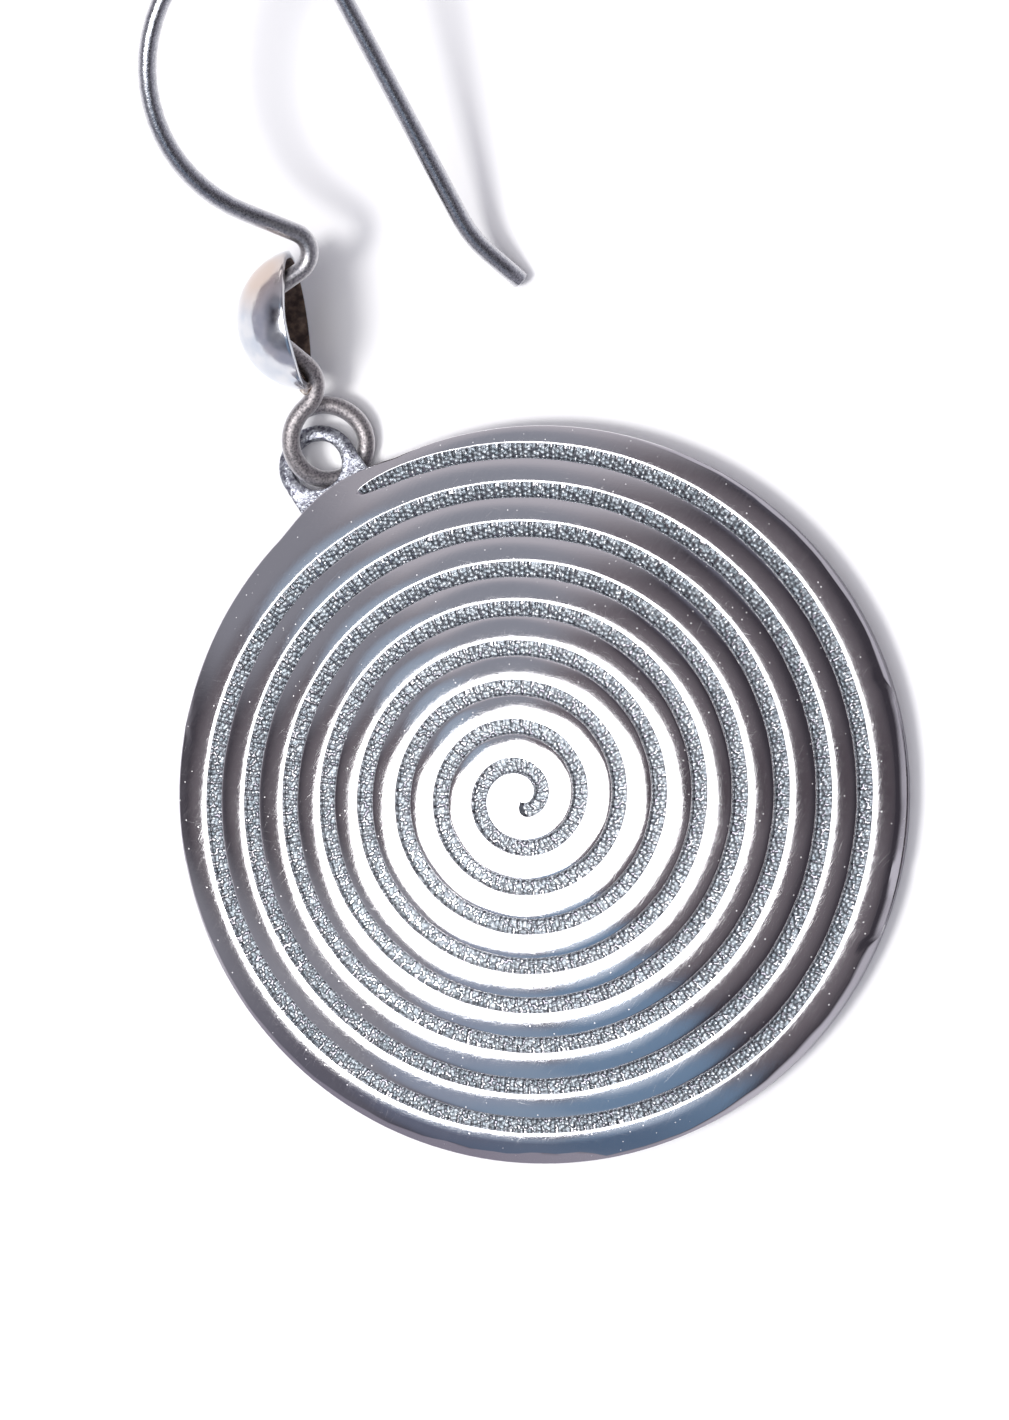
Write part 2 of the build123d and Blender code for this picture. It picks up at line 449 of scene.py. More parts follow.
bpy.ops.mesh.select_all(action="SELECT")
bpy.ops.mesh.normals_make_consistent(inside=False)
bpy.ops.object.mode_set(mode="OBJECT")
bpy.ops.object.shade_smooth_by_angle(angle=radians(18))


def node_material(name, metallic=1.0):
    """A new material with its node tree and its shader node, ready to be wired."""
    material = bpy.data.materials.new(name)
    material.use_nodes = True
    shader = material.node_tree.nodes["Principled BSDF"]
    shader.inputs["Metallic"].default_value = metallic
    return material, material.node_tree, shader


def link(source, target):
    source.id_data.links.new(source, target)


def math_node(operation, first, second):
    """One sum of a socket and a second value, which is a socket or a number."""
    node = first.id_data.nodes.new("ShaderNodeMath")
    node.operation = operation
    link(first, node.inputs[0])
    if isinstance(second, (int, float)):
        node.inputs[1].default_value = second
    else:
        link(second, node.inputs[1])
    return node.outputs[0]


def remap(value, from_low, from_high, to_low=0.0, to_high=1.0):
    """Stretches a range of a value to another range, and holds it there."""
    node = value.id_data.nodes.new("ShaderNodeMapRange")
    limits = {"From Min": from_low, "From Max": from_high, "To Min": to_low, "To Max": to_high}
    for name, number in limits.items():
        node.inputs[name].default_value = number
    link(value, node.inputs["Value"])
    return node.outputs["Result"]


def on_piece(tree, turn, size, shift=(0, 0, 0)):
    """Place on the piece, counted in steps of a size along directions turned about its axis."""
    place = tree.nodes.new("ShaderNodeTexCoord")
    aim = tree.nodes.new("ShaderNodeMapping")
    aim.vector_type = "TEXTURE"
    aim.inputs["Location"].default_value = shift
    aim.inputs["Rotation"].default_value = (0, 0, radians(turn))
    aim.inputs["Scale"].default_value = size
    link(place.outputs["Object"], aim.inputs["Vector"])
    return aim.outputs["Vector"]


def noise(tree, size, stretch=1.0, turn=0.0, detail=2.0):
    """Noise over the piece, of a grain size, that may be drawn out along one level direction."""
    texture = tree.nodes.new("ShaderNodeTexNoise")
    texture.inputs["Scale"].default_value = 1.0
    texture.inputs["Detail"].default_value = detail
    drawn_out = size * stretch
    link(on_piece(tree, turn, (drawn_out, size, drawn_out)), texture.inputs["Vector"])
    return texture.outputs["Fac"]


def mix_colour(share, first, second):
    """Blend of two colours, each a socket or a triple."""
    node = share.id_data.nodes.new("ShaderNodeMix")
    node.data_type = "RGBA"
    link(share, node.inputs["Factor"])
    for socket, value in ((node.inputs[6], first), (node.inputs[7], second)):
        if isinstance(value, tuple):
            socket.default_value = (*value, 1)
        else:
            link(value, socket)
    return node.outputs[2]


def vector_node(operation, vector):
    """One step on a vector."""
    node = vector.id_data.nodes.new("ShaderNodeVectorMath")
    node.operation = operation
    link(vector, node.inputs[0])
    return node.outputs[0]


def add_bump(shader, height, depth, inward=False):
    """Gives a surface a fine relief of a depth, from a height between 0 and 1."""
    bump = shader.id_data.nodes.new("ShaderNodeBump")
    bump.invert = inward
    bump.inputs["Distance"].default_value = depth
    link(height, bump.inputs["Height"])
    link(bump.outputs["Normal"], shader.inputs["Normal"])


# the finish of the polished band. A set of hairlines is its angle in degrees, and its cells'
# length and its lines' width in millimetres. Brush strokes are a grain size, how far it is drawn
# out, its angle in degrees, and the two levels of the noise between which they show.
silver_tint = (0.93, 0.92, 0.92)
oxide_tint = (0.36, 0.34, 0.39)
# the side's dark tint is painted shade, for the shadowed sheet that it mirrors
painted_shade_side_tint = (0.27, 0.255, 0.30)
polish_rough, haze_rough, scratch_rough, rim_rough = 0.06, 0.09, 0.30, 0.30
hairline_sets = ((12, 1.1, 0.010), (33, 0.8, 0.009), (-46, 0.9, 0.008))
hairline_spacing = 0.11 * mm
hairline_shift = (0.37 * mm, 0.11 * mm)
hairline_share = 0.12
hairline_reach = (0.12, 0.48)
hairline_fade = 0.12
patch_size, patch_levels, patch_least = 3.2 * mm, (0.42, 0.62), 0.15
stroke_sets = ((0.040 * mm, 16.0, 24.0, 0.50, 0.72), (0.045 * mm, 12.0, -38.0, 0.54, 0.76))
haze_grain, haze_levels = 0.055 * mm, (0.50, 0.72)
stroke_depth_share = 0.6
scratch_depth = 0.0007 * mm
speck_spacing, speck_size, speck_share, speck_rough = 0.30 * mm, 0.040 * mm, 0.35, 0.5


def hairlines(tree, turn, length, width):
    """Straight fine scratches at an angle: one may lie in each cell of a long thin grid."""
    shift = (hairline_shift[0] * turn, hairline_shift[1] * turn, 0)
    cell = on_piece(tree, turn, (length, hairline_spacing, 1), shift)
    chance = tree.nodes.new("ShaderNodeTexWhiteNoise")
    link(vector_node("FLOOR", cell), chance.inputs["Vector"])
    inside = tree.nodes.new("ShaderNodeSeparateXYZ")
    link(vector_node("FRACTION", cell), inside.inputs["Vector"])
    draws = tree.nodes.new("ShaderNodeSeparateColor")
    link(chance.outputs["Color"], draws.inputs["Color"])
    middle = remap(draws.outputs["Green"], 0, 1, 0.2, 0.8)
    off_line = math_node("SUBTRACT", inside.outputs["Y"], middle)
    off_line = math_node("ABSOLUTE", off_line, 0)
    line = remap(off_line, width / hairline_spacing, 0, 0, 1)
    along = math_node("SUBTRACT", inside.outputs["X"], 0.5)
    along = math_node("ABSOLUTE", along, 0)
    reach = remap(draws.outputs["Blue"], 0, 1, *hairline_reach)
    ends = remap(math_node("SUBTRACT", reach, along), 0, hairline_fade)
    picked = remap(chance.outputs["Value"], 1 - hairline_share, 1 - hairline_share * 0.3)
    return math_node("MULTIPLY", math_node("MULTIPLY", line, ends), picked)


def fine_scratches(tree):
    """Share of a surface that is scratched: a few clear hairlines, more of them in some patches."""
    clear = None
    for turn, length, width in hairline_sets:
        line = hairlines(tree, turn, length * mm, width * mm)
        clear = line if clear is None else math_node("MAXIMUM", clear, line)
    patch = remap(noise(tree, patch_size, detail=1.0), *patch_levels, patch_least, 1.0)
    return math_node("MULTIPLY", clear, patch)


def specks(tree):
    """Tiny pits and grains of polish: a dot may lie in each cell of a loose scatter."""
    place = tree.nodes.new("ShaderNodeTexCoord")
    cells = tree.nodes.new("ShaderNodeTexVoronoi")
    cells.inputs["Scale"].default_value = 1 / speck_spacing
    link(place.outputs["Object"], cells.inputs["Vector"])
    radius = speck_size / speck_spacing
    dot = remap(cells.outputs["Distance"], radius, 0.6 * radius)
    draws = tree.nodes.new("ShaderNodeSeparateColor")
    link(cells.outputs["Color"], draws.inputs["Color"])
    picked = remap(draws.outputs["Red"], 1 - speck_share, 1.02 - speck_share)
    return math_node("MULTIPLY", dot, picked)


band_silver, tree, shader = node_material("band_silver")
scratched = fine_scratches(tree)
streaked = remap(noise(tree, haze_grain, detail=3.0), *haze_levels)
for size, stretch, turn, low, high in stroke_sets:
    strokes = remap(noise(tree, size, stretch, turn), low, high)
    streaked = math_node("MAXIMUM", streaked, strokes)
haze = remap(streaked, 0.0, 1.0, polish_rough, polish_rough + haze_rough)
scratched_rough = math_node("MULTIPLY", scratched, scratch_rough)
dotted = math_node("MULTIPLY", specks(tree), speck_rough)
worn = math_node("MAXIMUM", scratched_rough, dotted)
link(math_node("MAXIMUM", haze, worn), shader.inputs["Roughness"])
fine_strokes = math_node("MULTIPLY", streaked, stroke_depth_share)
relief = math_node("MAXIMUM", scratched, fine_strokes)
add_bump(shader, relief, scratch_depth, inward=True)
sunk_share = tree.nodes.new("ShaderNodeAttribute")
sunk_share.attribute_name = "sunk"
band_tint = mix_colour(sunk_share.outputs["Fac"], silver_tint, oxide_tint)
link(band_tint, shader.inputs["Base Color"])
disc.data.materials.append(band_silver)

# the side is matt, with no polish on it; its dark grey is painted shade, standing in for the
# shadowed sheet that the side mirrors
side_silver_painted_shade, tree, shader = node_material("side_silver_painted_shade")
shader.inputs["Base Color"].default_value = (*painted_shade_side_tint, 1)
shader.inputs["Roughness"].default_value = rim_rough
disc.data.materials.append(side_silver_painted_shade)
side_steep = 0.35
side_radius = disc_radius - 0.03 * mm
for face in disc.data.polygons:
    on_side = abs(face.normal.z) < side_steep and face.center.xy.length > side_radius
    face.material_index = int(on_side)
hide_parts("spiral_disc")
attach(disc, "root")

# Groove floor. The sunk floor is punched all over with a small beading tool, so it is a field
# of tiny grains, darkened in an oxide bath. The polishing cloth reaches only the highest. It is
# modelled as a thin bar that lies in the groove, in three stretches.
floor_step = 0.036 * mm
floor_across = 16
floor_stretches = 3
floor_thickness = 0.1 * mm
floor_tuck = 0.02 * mm
floor_lift = 0.02 * mm
floor_least_half = 0.01 * mm
floor_past_start, floor_before_end = 28, 0.5
bead_spacing = 0.205 * mm
bead_rows = 12
bead_rise = 0.075 * mm
bead_level = 0.45
bead_radius = 0.54
bead_shift = 0.22
bead_least = 0.55
skin_rough = 0.002 * mm
inner_oxide = ((0.27, 0.30, 0.33), (0.42, 0.45, 0.47))
outer_oxide = ((0.18, 0.21, 0.235), (0.32, 0.345, 0.37))
oxide_inside, oxide_outside = 5 * mm, 13 * mm
gap_tint = (0.065, 0.070, 0.080)
grain_tint = (0.80, 0.81, 0.83)


def distance_from(tree, spot):
    """Distance of each point of the piece from a spot."""
    place = tree.nodes.new("ShaderNodeTexCoord")
    away = tree.nodes.new("ShaderNodeVectorMath")
    away.operation = "DISTANCE"
    link(place.outputs["Object"], away.inputs[0])
    away.inputs[1].default_value = spot
    return away.outputs["Value"]


oxidised, tree, shader = node_material("oxidised_silver")
bead_share = tree.nodes.new("ShaderNodeAttribute")
bead_share.attribute_name = "bead"
polish = remap(bead_share.outputs["Fac"], 0.84, 0.96)
out_of_gap = remap(bead_share.outputs["Fac"], 0.0, 0.45)
clouds = remap(noise(tree, 0.25 * mm, detail=3.0), 0.35, 0.65)
outside = remap(distance_from(tree, (0, 0, 0)), oxide_inside, oxide_outside)
inner_tone = mix_colour(clouds, *inner_oxide)
outer_tone = mix_colour(clouds, *outer_oxide)
tone = mix_colour(outside, inner_tone, outer_tone)
tone = mix_colour(out_of_gap, gap_tint, tone)
link(mix_colour(polish, tone, grain_tint), shader.inputs["Base Color"])
link(remap(polish, 0.0, 1.0, 0.46, 0.28), shader.inputs["Roughness"])

random = np.random.default_rng(7)
length_end = along_line(spiral_end_angle - floor_before_end) * mm
length_start = along_line(spiral_start_angle - floor_past_start) * mm
columns_in_all = int(length_end / bead_spacing) + 4
shift = random.uniform(-bead_shift, bead_shift, (columns_in_all, bead_rows, 2))
tall = random.uniform(bead_least, 1.0, (columns_in_all, bead_rows))
cuts = np.linspace(length_start, length_end, floor_stretches + 1)
for stretch, (start, end) in enumerate(zip(cuts[:-1], cuts[1:])):
    lengths = np.linspace(start, end, int((end - start) / floor_step))
    floor_turned = centre_angle + np.degrees(np.sqrt(lengths * 4 * pi / spiral_pitch))
    true_half = groove_half * groove_open(floor_turned) * (1 + hand_wave * hand(floor_turned))
    half_now = np.clip(true_half - inner_draft, floor_least_half, None) + floor_tuck
    across_now = np.linspace(-1, 1, floor_across)[:, None] * half_now
    # each bead sits near the middle of its own cell of a staggered layout along the groove
    along_now = np.broadcast_to(lengths, across_now.shape)
    column = np.floor(along_now / bead_spacing).astype(int)
    nearest = np.full(across_now.shape, 9.0)
    height_of = np.zeros(across_now.shape)
    for step_along in (-1, 0, 1):
        c = np.clip(column + step_along, 0, columns_in_all - 1)
        stagger = 0.5 * (c % 2)
        row = np.floor((across_now + groove_half) / bead_spacing + stagger).astype(int)
        for step_across in (-1, 0, 1):
            r = np.clip(row + step_across, 0, bead_rows - 1)
            bead_along = (c + 0.5 + shift[c, r, 0]) * bead_spacing
            bead_across = (r + 0.5 - stagger + shift[c, r, 1]) * bead_spacing - groove_half
            away = np.hypot(along_now - bead_along, across_now - bead_across) / bead_spacing
            closer = away < nearest
            nearest = np.where(closer, away, nearest)
            height_of = np.where(closer, tall[c, r], height_of)
    bead = np.sqrt(np.clip(1 - (nearest / bead_radius) ** 2, 0, 1)) * height_of
    rough_floor = bead_rise * (bead - bead_level) + random.normal(0, skin_rough, across_now.shape)
    floor_way = np.radians(floor_turned)
    floor_out = line_radius(floor_turned) + across_now
    floor_x = spiral_middle[0] + floor_out * np.cos(floor_way)
    floor_y = spiral_middle[1] + floor_out * np.sin(floor_way)
    floor_depth = groove_depth * np.clip(groove_open(floor_turned), 0.02, 1) ** 0.5 - floor_lift
    floor_z = dome_height(floor_x, floor_y) - floor_depth + rough_floor
    floor_z -= joint_sink * joint_share(floor_turned)

    # the sheet's two edges are folded down and meet below it, so that the floor is a closed bar
    top = np.stack((floor_x, floor_y, floor_z), -1)
    below = top[[0, -1, 0]] - (0, 0, floor_thickness)
    around = np.concatenate((below[:1], top, below[1:]))
    tone_around = np.concatenate((0 * bead[:1], bead, 0 * bead[:2]))
    bpy.ops.mesh.primitive_grid_add(
        x_subdivisions=len(lengths) - 1, y_subdivisions=len(around) - 1, size=1
    )
    groove_floor = bpy.context.object
    groove_floor.name = f"groove_floor_{stretch + 1}"
    groove_floor.data.vertices.foreach_set("co", around.reshape(-1))
    bead_tone = groove_floor.data.attributes.new("bead", "FLOAT", "POINT")
    bead_tone.data.foreach_set("value", tone_around.reshape(-1))
    bpy.ops.object.mode_set(mode="EDIT")
    bpy.ops.mesh.select_all(action="SELECT")
    bpy.ops.mesh.remove_doubles(threshold=0.0001 * mm)
    bpy.ops.mesh.fill_holes(sides=len(around))
    bpy.ops.mesh.normals_make_consistent(inside=False)
    bpy.ops.object.mode_set(mode="OBJECT")
    bpy.ops.object.shade_smooth()
    groove_floor.data.materials.append(oxidised)
    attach(groove_floor, "root")

# Bail. The ring is cast in one with the disc, with a rounded band that thins where it runs in
# under the face. It keeps the grainy skin of the mould. The ear wire's eye hangs in its hole.
bail_hole_radius = 1.10 * mm
bail_band = 0.66 * mm
bail_hole_gap = 0.38 * mm
bail_root = 0.12 * mm
bail_root_thickness = 0.27 * mm
bail_swell = 0.17 * mm
bail_swell_edge = 0.35
root_thin_to, root_thin_fade = 1.25 * mm, 1.1 * mm
bail_drop = 0.28 * mm
bail_lift = 4.0
bail_edge_round = 0.125 * mm
bail_points = 120
skin_height, skin_grain = 0.016 * mm, 0.13 * mm
skin_tints = ((0.13, 0.13, 0.165), (0.47, 0.49, 0.53))


def soften(piece, width, segments, angle):
    """Rounds the edges of a piece that turn by more than an angle."""
    edges = piece.modifiers.new("soft edges", "BEVEL")
    edges.width = width
    edges.segments = segments
    edges.angle_limit = radians(angle)
    bpy.ops.object.modifier_apply(modifier=edges.name)


bail_outer = bail_hole_radius + bail_band
bail_tab = bail_root + bail_hole_gap + bail_hole_radius
bpy.ops.mesh.primitive_circle_add(vertices=bail_points, radius=bail_outer)
bail = bpy.context.object
bail.name = "bail"
for vertex in bail.data.vertices:
    if vertex.co.y < 0:
        side, down = abs(vertex.co.x) / bail_outer, -vertex.co.y / bail_outer
        vertex.co *= min(1 / max(side, 1e-6), bail_tab / bail_outer / down)
bpy.ops.object.mode_set(mode="EDIT")
bpy.ops.mesh.select_all(action="DESELECT")
bpy.ops.mesh.primitive_circle_add(vertices=bail_points, radius=bail_hole_radius)
bpy.ops.mesh.select_all(action="SELECT")
bpy.ops.mesh.bridge_edge_loops(number_cuts=7, interpolation="LINEAR")
bpy.ops.mesh.normals_make_consistent(inside=False)
bpy.ops.object.mode_set(mode="OBJECT")
wall = bail.modifiers.new("thickness", "SOLIDIFY")
wall.thickness = bail_root_thickness
wall.offset = 0
bpy.ops.object.modifier_apply(modifier=wall.name)
soften(bail, bail_edge_round, 4, 50)
for vertex in bail.data.vertices:
    off_crest = abs(vertex.co.to_2d().length - bail_hole_radius - bail_band / 2)
    crest = 1 - min(1, off_crest / (bail_band / 2)) ** 2
    past_root = min(1, max(0, (vertex.co.y + root_thin_to) / root_thin_fade))
    if vertex.co.z > 0:
        swollen = bail_swell_edge + (1 - bail_swell_edge) * crest
        vertex.co.z += bail_swell * swollen * smooth(past_root)
skin = [skin_height * grain(vertex.co / skin_grain) for vertex in bail.data.vertices]
for vertex, lift in zip(bail.data.vertices, skin):
    vertex.co += vertex.normal * lift
dome_slope = float(np.arcsin(disc_radius / dome_radius))
seat = (
    Matrix.Translation((0, disc_radius, rim_top - bail_drop))
    @ Matrix.Rotation(radians(bail_lift) - dome_slope, 4, "X")
    @ Matrix.Translation((0, bail_hole_gap + bail_hole_radius, -bail_root_thickness / 2))
)
bail.data.transform(seat)
bpy.ops.object.shade_smooth_by_angle(angle=radians(60))

cast_skin, tree, shader = node_material("cast_skin_silver")
pitted = remap(noise(tree, 0.16 * mm, detail=3.0), 0.38, 0.62)
link(mix_colour(pitted, *skin_tints), shader.inputs["Base Color"])
shader.inputs["Roughness"].default_value = 0.40
add_bump(shader, noise(tree, 0.09 * mm, detail=2.5), 0.03 * mm)
bail.data.materials.append(cast_skin)
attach(bail, "root")

# Ear wire. One length of round silver wire, bent cold with pliers: the eye through the bail, the
# neck, the stem inside the cup, the shoulder, the bow that hangs in the ear, and the kicked end.
wire_radius = 0.4 * mm
wire_azimuth = 13.5
wire_tilt = 28.5
eye_end_tilt = 13.0
eye_place_angle = 4.58
eye_rim_gap = 0.14 * mm
eye_lift = 0.02 * mm
eye_low_radius = 1.63 * mm
eye_high_radius = 1.93 * mm
neck_radius, neck_turn = 1.26 * mm, 97.8
stem_run_below = 2.72 * mm
stem_bend_radius, stem_bend_turn = 0.80 * mm, 104.4
stem_run_above = 1.99 * mm
shoulder_radius, shoulder_turn = 0.99 * mm, 122.4
left_limb_run = 2.40 * mm
bow_left_radius = 6.96 * mm
bow_right_radius = 3.74 * mm
kick_radius, kick_turn = 5.5 * mm, 20.6
kick_run = 1.99 * mm
eye_end_low_radius, eye_end_low_turn = 1.55 * mm, 80.0
eye_end_high_radius, eye_end_high_turn = 1.90 * mm, 85.0
wire_sides = 20
degrees_per_step = 6
wire_end_round = 0.05 * mm
dull_tints = ((0.17, 0.16, 0.17), (0.44, 0.41, 0.41))
clean_tints = ((0.30, 0.31, 0.34), (0.52, 0.53, 0.56))
# the last tint is a painted sheen: the wire's edges turn pale where they are seen edge-on
painted_edge_sheen_tint = (0.80, 0.79, 0.80)
dull_spot = Vector((1.5, 20.0, 1.5)) * mm
dull_within, clean_beyond = 3 * mm, 10 * mm

level = Vector((cos(radians(wire_azimuth)), sin(radians(wire_azimuth)), 0))
eye_reach = disc_radius + eye_rim_gap + wire_radius
eye_low = Vector((
    eye_reach * sin(radians(eye_place_angle)),
    eye_reach * cos(radians(eye_place_angle)),
    wire_radius + eye_lift,
))


class Pliers:
    """Draws out a wire from a ring of edges, with runs and bends in one leaning plane."""

    def __init__(self, place, ahead, normal):
        self.place = place.copy()
        self.ahead = ahead.copy()
        self.normal = normal.copy()

    def run(self, length, steps=1):
        """Straight stretch."""
        for _ in range(steps):
            bpy.ops.mesh.extrude_region_move()
            bpy.ops.transform.translate(value=self.ahead * (length / steps))
        self.place += self.ahead * length

    def bend(self, radius, turn):
        """Arc to the left for a positive turn and to the right for a negative one."""
        side = 1 if turn > 0 else -1
        centre = self.place + self.normal.cross(self.ahead) * radius * side
        steps = max(2, int(abs(turn) / degrees_per_step))
        bpy.ops.mesh.spin(steps=steps, angle=radians(-turn), center=centre, axis=self.normal)
        turning = Matrix.Rotation(radians(turn), 3, self.normal)
        self.place = centre + turning @ (self.place - centre)
        self.ahead = turning @ self.ahead


def leaning_normal(tilt):
    """Normal of a plane that is level along the wire's first direction and leans back."""
    return Matrix.Rotation(radians(tilt), 3, level) @ Vector((0, 0, 1))


ring_turn = (-level).to_track_quat("Z", "Y").to_euler()
bpy.ops.mesh.primitive_circle_add(
    vertices=wire_sides, radius=wire_radius, location=eye_low, rotation=ring_turn
)
bpy.ops.object.transform_apply()
ear_wire = bpy.context.object
ear_wire.name = "ear_wire"
bpy.ops.object.mode_set(mode="EDIT")
bpy.ops.mesh.select_mode(type="EDGE")
bpy.ops.mesh.select_all(action="SELECT")
main = Pliers(eye_low, -level, leaning_normal(wire_tilt))
main.bend(eye_low_radius, -90)
main.bend(eye_high_radius, -neck_turn)
main.bend(neck_radius, neck_turn)
main.run(stem_run_below, 3)
main.bend(stem_bend_radius, -stem_bend_turn)
main.run(stem_run_above, 2)
main.bend(shoulder_radius, shoulder_turn)
main.run(left_limb_run, 2)
climb = leaning_normal(wire_tilt).cross(level)
heading = degrees(np.arctan2(main.ahead.dot(climb), main.ahead.dot(level)))
main.bend(bow_left_radius, -heading)
main.bend(bow_right_radius, -90 - kick_turn)
above_eye = (main.place - eye_low).dot(climb)
kick_drop = kick_radius * sin(radians(kick_turn)) + kick_run
main.run((above_eye - kick_drop) / cos(radians(kick_turn)), 8)
main.bend(kick_radius, kick_turn)
main.run(kick_run, 2)
bpy.ops.mesh.edge_face_add()
bpy.ops.mesh.select_all(action="DESELECT")
bpy.ops.object.mode_set(mode="OBJECT")


def on_first_ring(point):
    """Whether a point is on the ring of edges that the wire was drawn from."""
    from_start = point - eye_low
    return abs(from_start.dot(level)) < 0.001 * mm and from_start.length < 1.1 * wire_radius


# the eye's free end is drawn from the same ring, the other way
for edge in ear_wire.data.edges:
    edge.select = all(on_first_ring(ear_wire.data.vertices[i].co) for i in edge.vertices)
bpy.ops.object.mode_set(mode="EDIT")
free_end = Pliers(eye_low, level, leaning_normal(eye_end_tilt))
free_end.bend(eye_end_low_radius, eye_end_low_turn)
free_end.bend(eye_end_high_radius, eye_end_high_turn)
bpy.ops.mesh.edge_face_add()
bpy.ops.mesh.select_all(action="SELECT")
bpy.ops.mesh.normals_make_consistent(inside=False)
bpy.ops.object.mode_set(mode="OBJECT")
soften(ear_wire, wire_end_round, 2, 60)
bpy.ops.object.shade_smooth_by_angle(angle=radians(50))

wire_silver, tree, shader = node_material("wire_silver")
bright = remap(distance_from(tree, dull_spot), dull_within, clean_beyond)
speckle = remap(noise(tree, 0.10 * mm, detail=4.0), 0.35, 0.65)
dull = mix_colour(speckle, *dull_tints)
clean = mix_colour(speckle, *clean_tints)
# painted reflection: where the wire is seen edge-on its colour is blended to a pale tint, standing
# in for the white sheet that it mirrors there
facing = tree.nodes.new("ShaderNodeLayerWeight")
facing.inputs["Blend"].default_value = 0.5
painted_edge_sheen = remap(facing.outputs["Facing"], 0.25, 0.85)
tone = mix_colour(painted_edge_sheen, mix_colour(bright, dull, clean), painted_edge_sheen_tint)
link(tone, shader.inputs["Base Color"])
matt = remap(bright, 0.0, 1.0, 0.26, 0.0)
fine_rough = remap(noise(tree, 0.08 * mm, detail=3.0), 0.3, 0.7, 0.20, 0.34)
link(math_node("ADD", fine_rough, matt), shader.inputs["Roughness"])
add_bump(shader, noise(tree, 0.06 * mm, detail=2.0), 0.008 * mm)
ear_wire.data.materials.append(wire_silver)
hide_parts("ear_hook")
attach(ear_wire, "root")

# Cup. A thin half ball, raised from sheet over a punch and soldered over the stem. It is bright
# outside, and dark brown inside where no cloth can reach the oxide.
cup_radius = 3.04 * mm
cup_depth = 2.64 * mm
cup_wall = 0.35 * mm
cup_azimuth = 153.0
cup_lean = 4.0
cup_mouth = Vector((3.1055, 22.8147)) * mm
lip_round = 0.06 * mm
lip_push, lip_wave = 0.15 * mm, 0.04 * mm
lip_reach = 1.6 * mm
cup_tints = ((0.72, 0.73, 0.75), (0.58, 0.62, 0.68))
tan_tint, tan_spot = (0.66, 0.55, 0.48), (3.1 * mm, 25.2 * mm, 4.9 * mm)
# the pale patch is a painted reflection, low on the cup's back where it mirrors the white sheet
painted_sheen_tint, painted_sheen_spot = (0.74, 0.74, 0.73), (0.4 * mm, 24.0 * mm, 2.2 * mm)
inside_tints = ((0.055, 0.036, 0.032), (0.17, 0.12, 0.09))
ball_radius = (cup_radius**2 + cup_depth**2) / (2 * cup_depth)
ball_back = ball_radius - cup_depth

bpy.ops.mesh.primitive_uv_sphere_add(segments=72, ring_count=48, radius=ball_radius)
cup = bpy.context.object
cup.name = "cup"
bpy.ops.object.mode_set(mode="EDIT")
bpy.ops.mesh.select_all(action="SELECT")
bpy.ops.mesh.bisect(plane_co=(0, 0, ball_back), plane_no=(0, 0, 1), clear_inner=True)
bpy.ops.object.mode_set(mode="OBJECT")
sheet = cup.modifiers.new("sheet", "SOLIDIFY")
sheet.thickness = cup_wall
sheet.offset = -1
bpy.ops.object.modifier_apply(modifier=sheet.name)
soften(cup, lip_round, 2, 50)
bpy.ops.object.shade_smooth_by_angle(angle=radians(50))
# the thin lip is pushed in a little at its top, and is not quite true
for vertex in cup.data.vertices:
    close = max(0, 1 - (vertex.co.z - ball_back) / lip_reach) ** 2
    sideways, upward = vertex.co.to_2d() / max(vertex.co.to_2d().length, 1e-9)
    push = max(0, upward) ** 0.8 * (lip_push + lip_wave * sin(5 * sideways + 1.2))
    vertex.co.z += push * close
depth_way = Vector((cos(radians(cup_azimuth)), sin(radians(cup_azimuth)), tan(radians(cup_lean))))
depth_way.normalize()
mouth_across = Vector((0, 0, 1)).cross(depth_way).normalized()
mouth_turn = Matrix((mouth_across, depth_way.cross(mouth_across), depth_way)).transposed()
mouth_middle = Vector((*cup_mouth, cup_radius * cos(radians(cup_lean))))
ball_middle = mouth_middle - depth_way * ball_back
cup.data.transform(Matrix.Translation(ball_middle) @ mouth_turn.to_4x4())

cup_silver, tree, shader = node_material("cup_silver")
tone = mix_colour(remap(noise(tree, 0.9 * mm, detail=2.0), 0.35, 0.65), *cup_tints)
tan_share = remap(distance_from(tree, tan_spot), 2.1 * mm, 0.7 * mm)
tone = mix_colour(tan_share, tone, tan_tint)
# painted reflection: a paler patch low on the back of the cup, where it mirrors the white sheet
painted_sheen_share = remap(distance_from(tree, painted_sheen_spot), 2.6 * mm, 1.2 * mm)
tone = mix_colour(painted_sheen_share, tone, painted_sheen_tint)
link(tone, shader.inputs["Base Color"])
fine_rough = remap(noise(tree, 0.3 * mm, detail=3.0), 0.3, 0.7, 0.10, 0.20)
link(fine_rough, shader.inputs["Roughness"])
add_bump(shader, noise(tree, 1.1 * mm, detail=1.5), 0.035 * mm)
cup.data.materials.append(cup_silver)
cup_inside, tree, shader = node_material("cup_inside", metallic=0.6)
shader.inputs["Roughness"].default_value = 0.45
stain = remap(noise(tree, 0.35 * mm, detail=3.0), 0.38, 0.64)
link(mix_colour(stain, *inside_tints), shader.inputs["Base Color"])
cup.data.materials.append(cup_inside)
for face in cup.data.polygons:
    from_middle = face.center - ball_middle
    deep_enough = from_middle.length < ball_radius - 0.9 * cup_wall
    face.material_index = int(face.normal.dot(from_middle) < 0 and deep_enough)
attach(cup, "root")

# Solder. Two small runs of hard silver solder hold the wire to the cup: one where the neck
# leaves its lower lip, and one inside, where the stem's bend touches the bowl.
solder_runs_mm = (((1.80, 20.30, 2.28), 0.42), ((2.00, 23.95, 4.26), 0.36))
solder_flow = Matrix.Diagonal((1, 0.85, 1.1, 1))
solder_uneven, solder_grain = 0.22, 0.34 * mm
solder_tints = ((0.84, 0.78, 0.70), (0.20, 0.13, 0.09))

